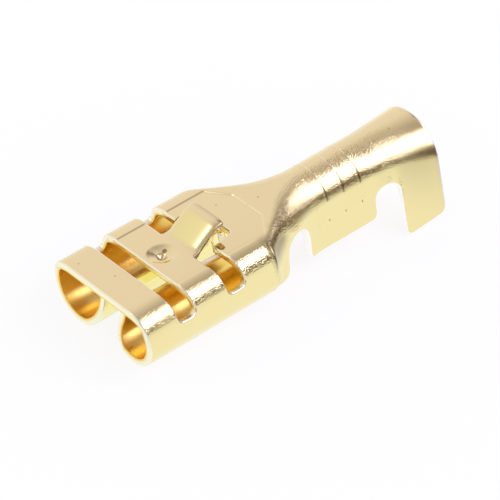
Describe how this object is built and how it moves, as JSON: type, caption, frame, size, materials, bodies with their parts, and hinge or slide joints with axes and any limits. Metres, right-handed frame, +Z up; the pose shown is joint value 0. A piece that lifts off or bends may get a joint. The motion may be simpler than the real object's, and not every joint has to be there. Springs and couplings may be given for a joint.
{
  "type": "female spade terminal",
  "caption": "Uninsulated female spade terminal folded from brass strip, with two rolls, a locking lance and open crimp barrels.",
  "frame": {"origin": "centre of the bounding box, on the surface that the terminal lies on", "axes": "+X from the mouth towards the wire end, +Y across the strip, +Z up with the contact plate uppermost. The strip's own axis rises 7 degrees from +X, because the part rests on the front of its rolls and on its longer insulation wings"},
  "size_m": [0.0196, 0.0076, 0.0058],
  "materials": {
    "brass_strip": "bright rolled strip, polished"
  },
  "bodies": {
    "root": {"terminal": "brass_strip"}
  },
  "joints": []
}
